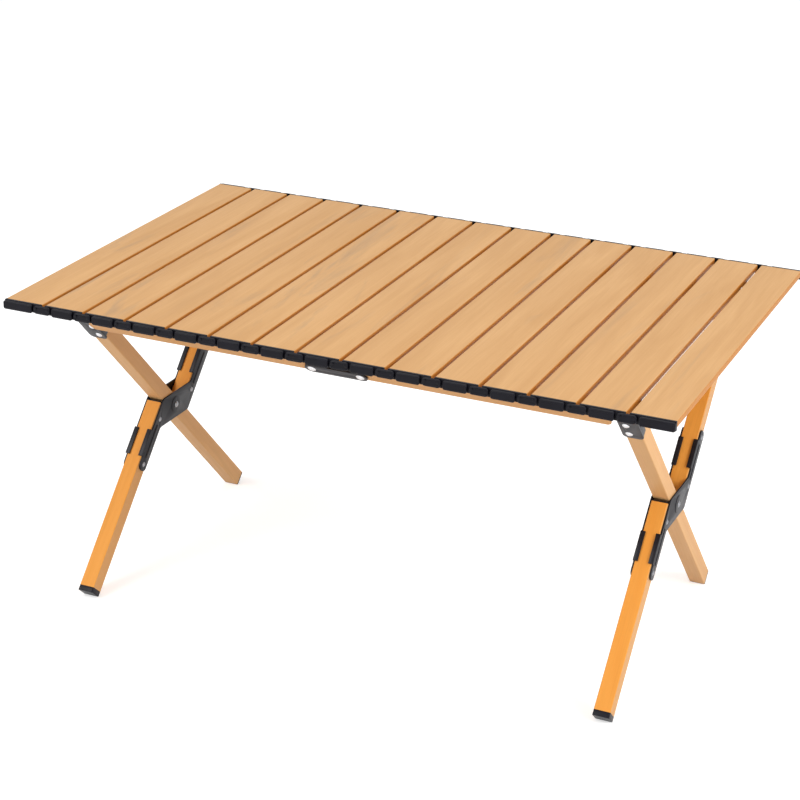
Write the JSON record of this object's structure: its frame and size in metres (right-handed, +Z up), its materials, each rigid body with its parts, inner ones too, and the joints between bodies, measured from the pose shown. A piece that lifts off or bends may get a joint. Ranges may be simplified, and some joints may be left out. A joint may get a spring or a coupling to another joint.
{
  "type": "roll top camp table",
  "caption": "Low folding camp table: a roll-up slatted wood-look top on crossed tube legs at each end, joined by folding rails.",
  "frame": {"origin": "on the floor under the middle of the table top", "axes": "+X along the table, +Y to the back, +Z up"},
  "size_m": [0.895, 0.575, 0.434],
  "materials": {
    "wood_slat": "satin",
    "wood_tube": "satin",
    "black_plastic": "satin",
    "dark_bracket": "satin",
    "bright_rivet": "satin"
  },
  "bodies": {
    "left_straight_leg": {"left_straight_leg": "wood_tube", "left_straight_leg_caps": "black_plastic", "left_front_bracket": "dark_bracket", "left_front_rivets": "bright_rivet", "left_hub_pin": "bright_rivet"},
    "left_split_leg": {"left_split_leg_upper": "wood_tube", "left_split_leg_lower": "wood_tube", "left_hub_plates": "dark_bracket", "left_split_leg_caps": "black_plastic", "left_back_bracket": "dark_bracket", "left_split_leg_rivets": "bright_rivet"},
    "right_straight_leg": {"right_straight_leg": "wood_tube", "right_straight_leg_caps": "black_plastic", "right_front_bracket": "dark_bracket", "right_front_rivets": "bright_rivet", "right_hub_pin": "bright_rivet"},
    "right_split_leg": {"right_split_leg_upper": "wood_tube", "right_split_leg_lower": "wood_tube", "right_hub_plates": "dark_bracket", "right_split_leg_caps": "black_plastic", "right_back_bracket": "dark_bracket", "right_split_leg_rivets": "bright_rivet"},
    "front_rail_left": {"front_rail_left": "wood_tube"},
    "front_rail_right": {"front_rail_right": "wood_tube"},
    "back_rail_left": {"back_rail_left": "wood_tube"},
    "back_rail_right": {"back_rail_right": "wood_tube"},
    "front_mid_link": {"front_mid_link": "dark_bracket", "front_mid_rivets": "bright_rivet"},
    "back_mid_link": {"back_mid_link": "dark_bracket", "back_mid_rivets": "bright_rivet"},
    "slat_01": {"slat_01": "wood_slat"},
    "slat_02": {"slat_02": "wood_slat"},
    "slat_03": {"slat_03": "wood_slat"},
    "slat_04": {"slat_04": "wood_slat"},
    "slat_05": {"slat_05": "wood_slat"},
    "slat_06": {"slat_06": "wood_slat"},
    "slat_07": {"slat_07": "wood_slat"},
    "slat_08": {"slat_08": "wood_slat"},
    "slat_09": {"slat_09": "wood_slat"},
    "slat_10": {"slat_10": "wood_slat"},
    "slat_11": {"slat_11": "wood_slat"},
    "slat_12": {"slat_12": "wood_slat"},
    "slat_13": {"slat_13": "wood_slat"},
    "slat_14": {"slat_14": "wood_slat"},
    "slat_15": {"slat_15": "wood_slat"},
    "link_01": {"link_01": "black_plastic"},
    "link_02": {"link_02": "black_plastic"},
    "link_03": {"link_03": "black_plastic"},
    "link_04": {"link_04": "black_plastic"},
    "link_05": {"link_05": "black_plastic"},
    "link_06": {"link_06": "black_plastic"},
    "link_07": {"link_07": "black_plastic"},
    "link_08": {"link_08": "black_plastic"},
    "link_09": {"link_09": "black_plastic"},
    "link_10": {"link_10": "black_plastic"},
    "link_11": {"link_11": "black_plastic"},
    "link_12": {"link_12": "black_plastic"},
    "link_13": {"link_13": "black_plastic"},
    "link_14": {"link_14": "black_plastic"}
  },
  "joints": [
    {"name": "frame_fold", "type": "hinge", "parent": "left_straight_leg", "child": "left_split_leg", "pos_m": [-0.37, -0.0193, 0.203], "axis": [1, 0, 0], "range_deg": [0, 87]},
    {"name": "front_mid_left_pivot", "type": "hinge", "parent": "front_mid_link", "child": "front_rail_left", "pos_m": [-0.033, -0.2228, 0.40289], "axis": [0, 0.7253, 0.6884], "range_deg": [0, 85]},
    {"name": "front_left_rail_pivot", "type": "hinge", "parent": "front_rail_left", "child": "left_straight_leg", "pos_m": [-0.344, -0.2228, 0.40289], "axis": [0, -0.7253, -0.6884], "range_deg": [0, 85]},
    {"name": "front_mid_right_pivot", "type": "hinge", "parent": "front_mid_link", "child": "front_rail_right", "pos_m": [0.033, -0.2228, 0.40289], "axis": [0, -0.7253, -0.6884], "range_deg": [0, 85]},
    {"name": "front_right_rail_pivot", "type": "hinge", "parent": "front_rail_right", "child": "right_straight_leg", "pos_m": [0.344, -0.2228, 0.40289], "axis": [0, 0.7253, 0.6884], "range_deg": [0, 85]},
    {"name": "right_leg_crossing", "type": "hinge", "parent": "right_straight_leg", "child": "right_split_leg", "pos_m": [0.37, -0.0193, 0.203], "axis": [1, 0, 0], "range_deg": [0, 87]},
    {"name": "back_left_rail_pivot", "type": "hinge", "parent": "left_split_leg", "child": "back_rail_left", "pos_m": [-0.344, 0.2228, 0.40289], "axis": [0, 0.7253, -0.6884], "range_deg": [0, 85]},
    {"name": "back_mid_left_pivot", "type": "hinge", "parent": "back_rail_left", "child": "back_mid_link", "pos_m": [-0.033, 0.2228, 0.40289], "axis": [0, -0.7253, 0.6884], "range_deg": [0, 85]},
    {"name": "back_mid_right_pivot", "type": "hinge", "parent": "back_mid_link", "child": "back_rail_right", "pos_m": [0.033, 0.2228, 0.40289], "axis": [0, -0.7253, 0.6884], "range_deg": [0, 85]},
    {"name": "top_lift", "type": "slide", "parent": "front_mid_link", "child": "slat_01", "axis": [0, 0, 1], "range_m": [0, 0.78]},
    {"name": "top_roll", "type": "hinge", "parent": "slat_01", "child": "link_01", "pos_m": [-0.399, 0, 0.4295], "axis": [0, -1, 0], "range_deg": [0, 18]},
    {"name": "link_01_right_pin", "type": "hinge", "parent": "link_01", "child": "slat_02", "pos_m": [-0.381, 0, 0.4295], "axis": [0, -1, 0], "range_deg": [0, 18]},
    {"name": "link_02_left_pin", "type": "hinge", "parent": "slat_02", "child": "link_02", "pos_m": [-0.339, 0, 0.4295], "axis": [0, -1, 0], "range_deg": [0, 18.14]},
    {"name": "link_02_right_pin", "type": "hinge", "parent": "link_02", "child": "slat_03", "pos_m": [-0.321, 0, 0.4295], "axis": [0, -1, 0], "range_deg": [0, 18.14]},
    {"name": "link_03_left_pin", "type": "hinge", "parent": "slat_03", "child": "link_03", "pos_m": [-0.279, 0, 0.4295], "axis": [0, -1, 0], "range_deg": [0, 18.53]},
    {"name": "link_03_right_pin", "type": "hinge", "parent": "link_03", "child": "slat_04", "pos_m": [-0.261, 0, 0.4295], "axis": [0, -1, 0], "range_deg": [0, 18.53]},
    {"name": "link_04_left_pin", "type": "hinge", "parent": "slat_04", "child": "link_04", "pos_m": [-0.219, 0, 0.4295], "axis": [0, -1, 0], "range_deg": [0, 19.18]},
    {"name": "link_04_right_pin", "type": "hinge", "parent": "link_04", "child": "slat_05", "pos_m": [-0.201, 0, 0.4295], "axis": [0, -1, 0], "range_deg": [0, 19.18]},
    {"name": "link_05_left_pin", "type": "hinge", "parent": "slat_05", "child": "link_05", "pos_m": [-0.159, 0, 0.4295], "axis": [0, -1, 0], "range_deg": [0, 20.09]},
    {"name": "link_05_right_pin", "type": "hinge", "parent": "link_05", "child": "slat_06", "pos_m": [-0.141, 0, 0.4295], "axis": [0, -1, 0], "range_deg": [0, 20.09]},
    {"name": "link_06_left_pin", "type": "hinge", "parent": "slat_06", "child": "link_06", "pos_m": [-0.099, 0, 0.4295], "axis": [0, -1, 0], "range_deg": [0, 21.26]},
    {"name": "link_06_right_pin", "type": "hinge", "parent": "link_06", "child": "slat_07", "pos_m": [-0.081, 0, 0.4295], "axis": [0, -1, 0], "range_deg": [0, 21.26]},
    {"name": "link_07_left_pin", "type": "hinge", "parent": "slat_07", "child": "link_07", "pos_m": [-0.039, 0, 0.4295], "axis": [0, -1, 0], "range_deg": [0, 22.7]},
    {"name": "link_07_right_pin", "type": "hinge", "parent": "link_07", "child": "slat_08", "pos_m": [-0.021, 0, 0.4295], "axis": [0, -1, 0], "range_deg": [0, 22.7]},
    {"name": "link_08_left_pin", "type": "hinge", "parent": "slat_08", "child": "link_08", "pos_m": [0.021, 0, 0.4295], "axis": [0, -1, 0], "range_deg": [0, 24.39]},
    {"name": "link_08_right_pin", "type": "hinge", "parent": "link_08", "child": "slat_09", "pos_m": [0.039, 0, 0.4295], "axis": [0, -1, 0], "range_deg": [0, 24.39]},
    {"name": "link_09_left_pin", "type": "hinge", "parent": "slat_09", "child": "link_09", "pos_m": [0.081, 0, 0.4295], "axis": [0, -1, 0], "range_deg": [0, 26.34]},
    {"name": "link_09_right_pin", "type": "hinge", "parent": "link_09", "child": "slat_10", "pos_m": [0.099, 0, 0.4295], "axis": [0, -1, 0], "range_deg": [0, 26.34]},
    {"name": "link_10_left_pin", "type": "hinge", "parent": "slat_10", "child": "link_10", "pos_m": [0.141, 0, 0.4295], "axis": [0, -1, 0], "range_deg": [0, 28.55]},
    {"name": "link_10_right_pin", "type": "hinge", "parent": "link_10", "child": "slat_11", "pos_m": [0.159, 0, 0.4295], "axis": [0, -1, 0], "range_deg": [0, 28.55]},
    {"name": "link_11_left_pin", "type": "hinge", "parent": "slat_11", "child": "link_11", "pos_m": [0.201, 0, 0.4295], "axis": [0, -1, 0], "range_deg": [0, 31.03]},
    {"name": "link_11_right_pin", "type": "hinge", "parent": "link_11", "child": "slat_12", "pos_m": [0.219, 0, 0.4295], "axis": [0, -1, 0], "range_deg": [0, 31.03]},
    {"name": "link_12_left_pin", "type": "hinge", "parent": "slat_12", "child": "link_12", "pos_m": [0.261, 0, 0.4295], "axis": [0, -1, 0], "range_deg": [0, 33.76]},
    {"name": "link_12_right_pin", "type": "hinge", "parent": "link_12", "child": "slat_13", "pos_m": [0.279, 0, 0.4295], "axis": [0, -1, 0], "range_deg": [0, 33.76]},
    {"name": "link_13_left_pin", "type": "hinge", "parent": "slat_13", "child": "link_13", "pos_m": [0.321, 0, 0.4295], "axis": [0, -1, 0], "range_deg": [0, 36.76]},
    {"name": "link_13_right_pin", "type": "hinge", "parent": "link_13", "child": "slat_14", "pos_m": [0.339, 0, 0.4295], "axis": [0, -1, 0], "range_deg": [0, 36.76]},
    {"name": "link_14_left_pin", "type": "hinge", "parent": "slat_14", "child": "link_14", "pos_m": [0.381, 0, 0.4295], "axis": [0, -1, 0], "range_deg": [0, 40.01]},
    {"name": "link_14_right_pin", "type": "hinge", "parent": "link_14", "child": "slat_15", "pos_m": [0.399, 0, 0.4295], "axis": [0, -1, 0], "range_deg": [0, 40.01]}
  ],
  "couplings": [
    {"joint": "front_mid_left_pivot", "follows": "frame_fold", "ratio": 0.97701},
    {"joint": "front_left_rail_pivot", "follows": "frame_fold", "ratio": 0.97701},
    {"joint": "front_mid_right_pivot", "follows": "frame_fold", "ratio": 0.97701},
    {"joint": "front_right_rail_pivot", "follows": "frame_fold", "ratio": 0.97701},
    {"joint": "right_leg_crossing", "follows": "frame_fold", "ratio": 1},
    {"joint": "back_left_rail_pivot", "follows": "frame_fold", "ratio": 0.97701},
    {"joint": "back_mid_left_pivot", "follows": "frame_fold", "ratio": 0.97701},
    {"joint": "back_mid_right_pivot", "follows": "frame_fold", "ratio": 0.97701},
    {"joint": "top_lift", "follows": "frame_fold", "m_per_rad": 0.51},
    {"joint": "link_01_right_pin", "follows": "top_roll", "ratio": 1},
    {"joint": "link_02_left_pin", "follows": "top_roll", "ratio": 1.0072},
    {"joint": "link_02_right_pin", "follows": "top_roll", "ratio": 1.0072},
    {"joint": "link_03_left_pin", "follows": "top_roll", "ratio": 1.0289},
    {"joint": "link_03_right_pin", "follows": "top_roll", "ratio": 1.0289},
    {"joint": "link_04_left_pin", "follows": "top_roll", "ratio": 1.0651},
    {"joint": "link_04_right_pin", "follows": "top_roll", "ratio": 1.0651},
    {"joint": "link_05_left_pin", "follows": "top_roll", "ratio": 1.1157},
    {"joint": "link_05_right_pin", "follows": "top_roll", "ratio": 1.1157},
    {"joint": "link_06_left_pin", "follows": "top_roll", "ratio": 1.1808},
    {"joint": "link_06_right_pin", "follows": "top_roll", "ratio": 1.1808},
    {"joint": "link_07_left_pin", "follows": "top_roll", "ratio": 1.2604},
    {"joint": "link_07_right_pin", "follows": "top_roll", "ratio": 1.2604},
    {"joint": "link_08_left_pin", "follows": "top_roll", "ratio": 1.3544},
    {"joint": "link_08_right_pin", "follows": "top_roll", "ratio": 1.3544},
    {"joint": "link_09_left_pin", "follows": "top_roll", "ratio": 1.4629},
    {"joint": "link_09_right_pin", "follows": "top_roll", "ratio": 1.4629},
    {"joint": "link_10_left_pin", "follows": "top_roll", "ratio": 1.5858},
    {"joint": "link_10_right_pin", "follows": "top_roll", "ratio": 1.5858},
    {"joint": "link_11_left_pin", "follows": "top_roll", "ratio": 1.7232},
    {"joint": "link_11_right_pin", "follows": "top_roll", "ratio": 1.7232},
    {"joint": "link_12_left_pin", "follows": "top_roll", "ratio": 1.8751},
    {"joint": "link_12_right_pin", "follows": "top_roll", "ratio": 1.8751},
    {"joint": "link_13_left_pin", "follows": "top_roll", "ratio": 2.0414},
    {"joint": "link_13_right_pin", "follows": "top_roll", "ratio": 2.0414},
    {"joint": "link_14_left_pin", "follows": "top_roll", "ratio": 2.2222},
    {"joint": "link_14_right_pin", "follows": "top_roll", "ratio": 2.2222}
  ]
}
